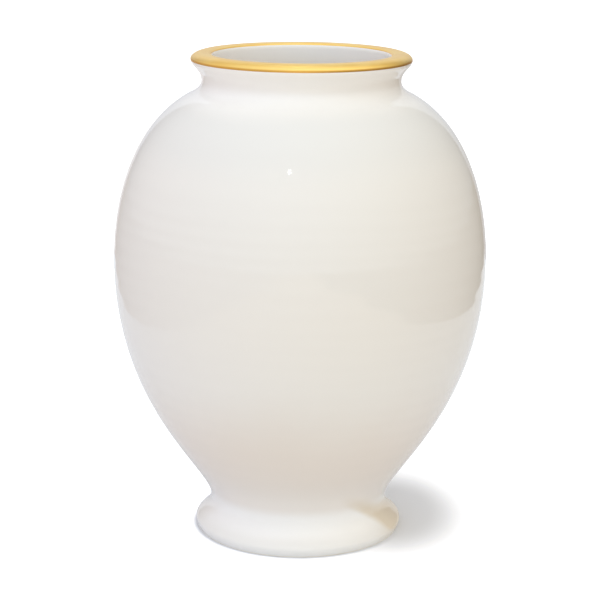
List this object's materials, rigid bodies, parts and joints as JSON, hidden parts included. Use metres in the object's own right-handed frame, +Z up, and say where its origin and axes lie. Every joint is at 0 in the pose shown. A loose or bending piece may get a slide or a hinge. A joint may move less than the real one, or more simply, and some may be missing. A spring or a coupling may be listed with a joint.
{
  "type": "footed porcelain vase",
  "caption": "Wide-bellied porcelain table vase on a low hollow foot ring, with a short neck and a turned-out, gold-banded lip.",
  "frame": {"origin": "centre of the circle that the foot ring stands on", "axes": "+Z up along the axis of revolution; X and Y are any two level directions at right angles, because the vase is round"},
  "size_m": [0.23, 0.23, 0.3],
  "materials": {
    "glazed_porcelain": "cream-white porcelain under a clear high-gloss glaze",
    "fired_gold": "fired bright gold, softly satin"
  },
  "bodies": {
    "root": {"vase_body": "glazed_porcelain", "foot_ring": "glazed_porcelain", "gold_lip_band": "fired_gold"}
  },
  "joints": []
}
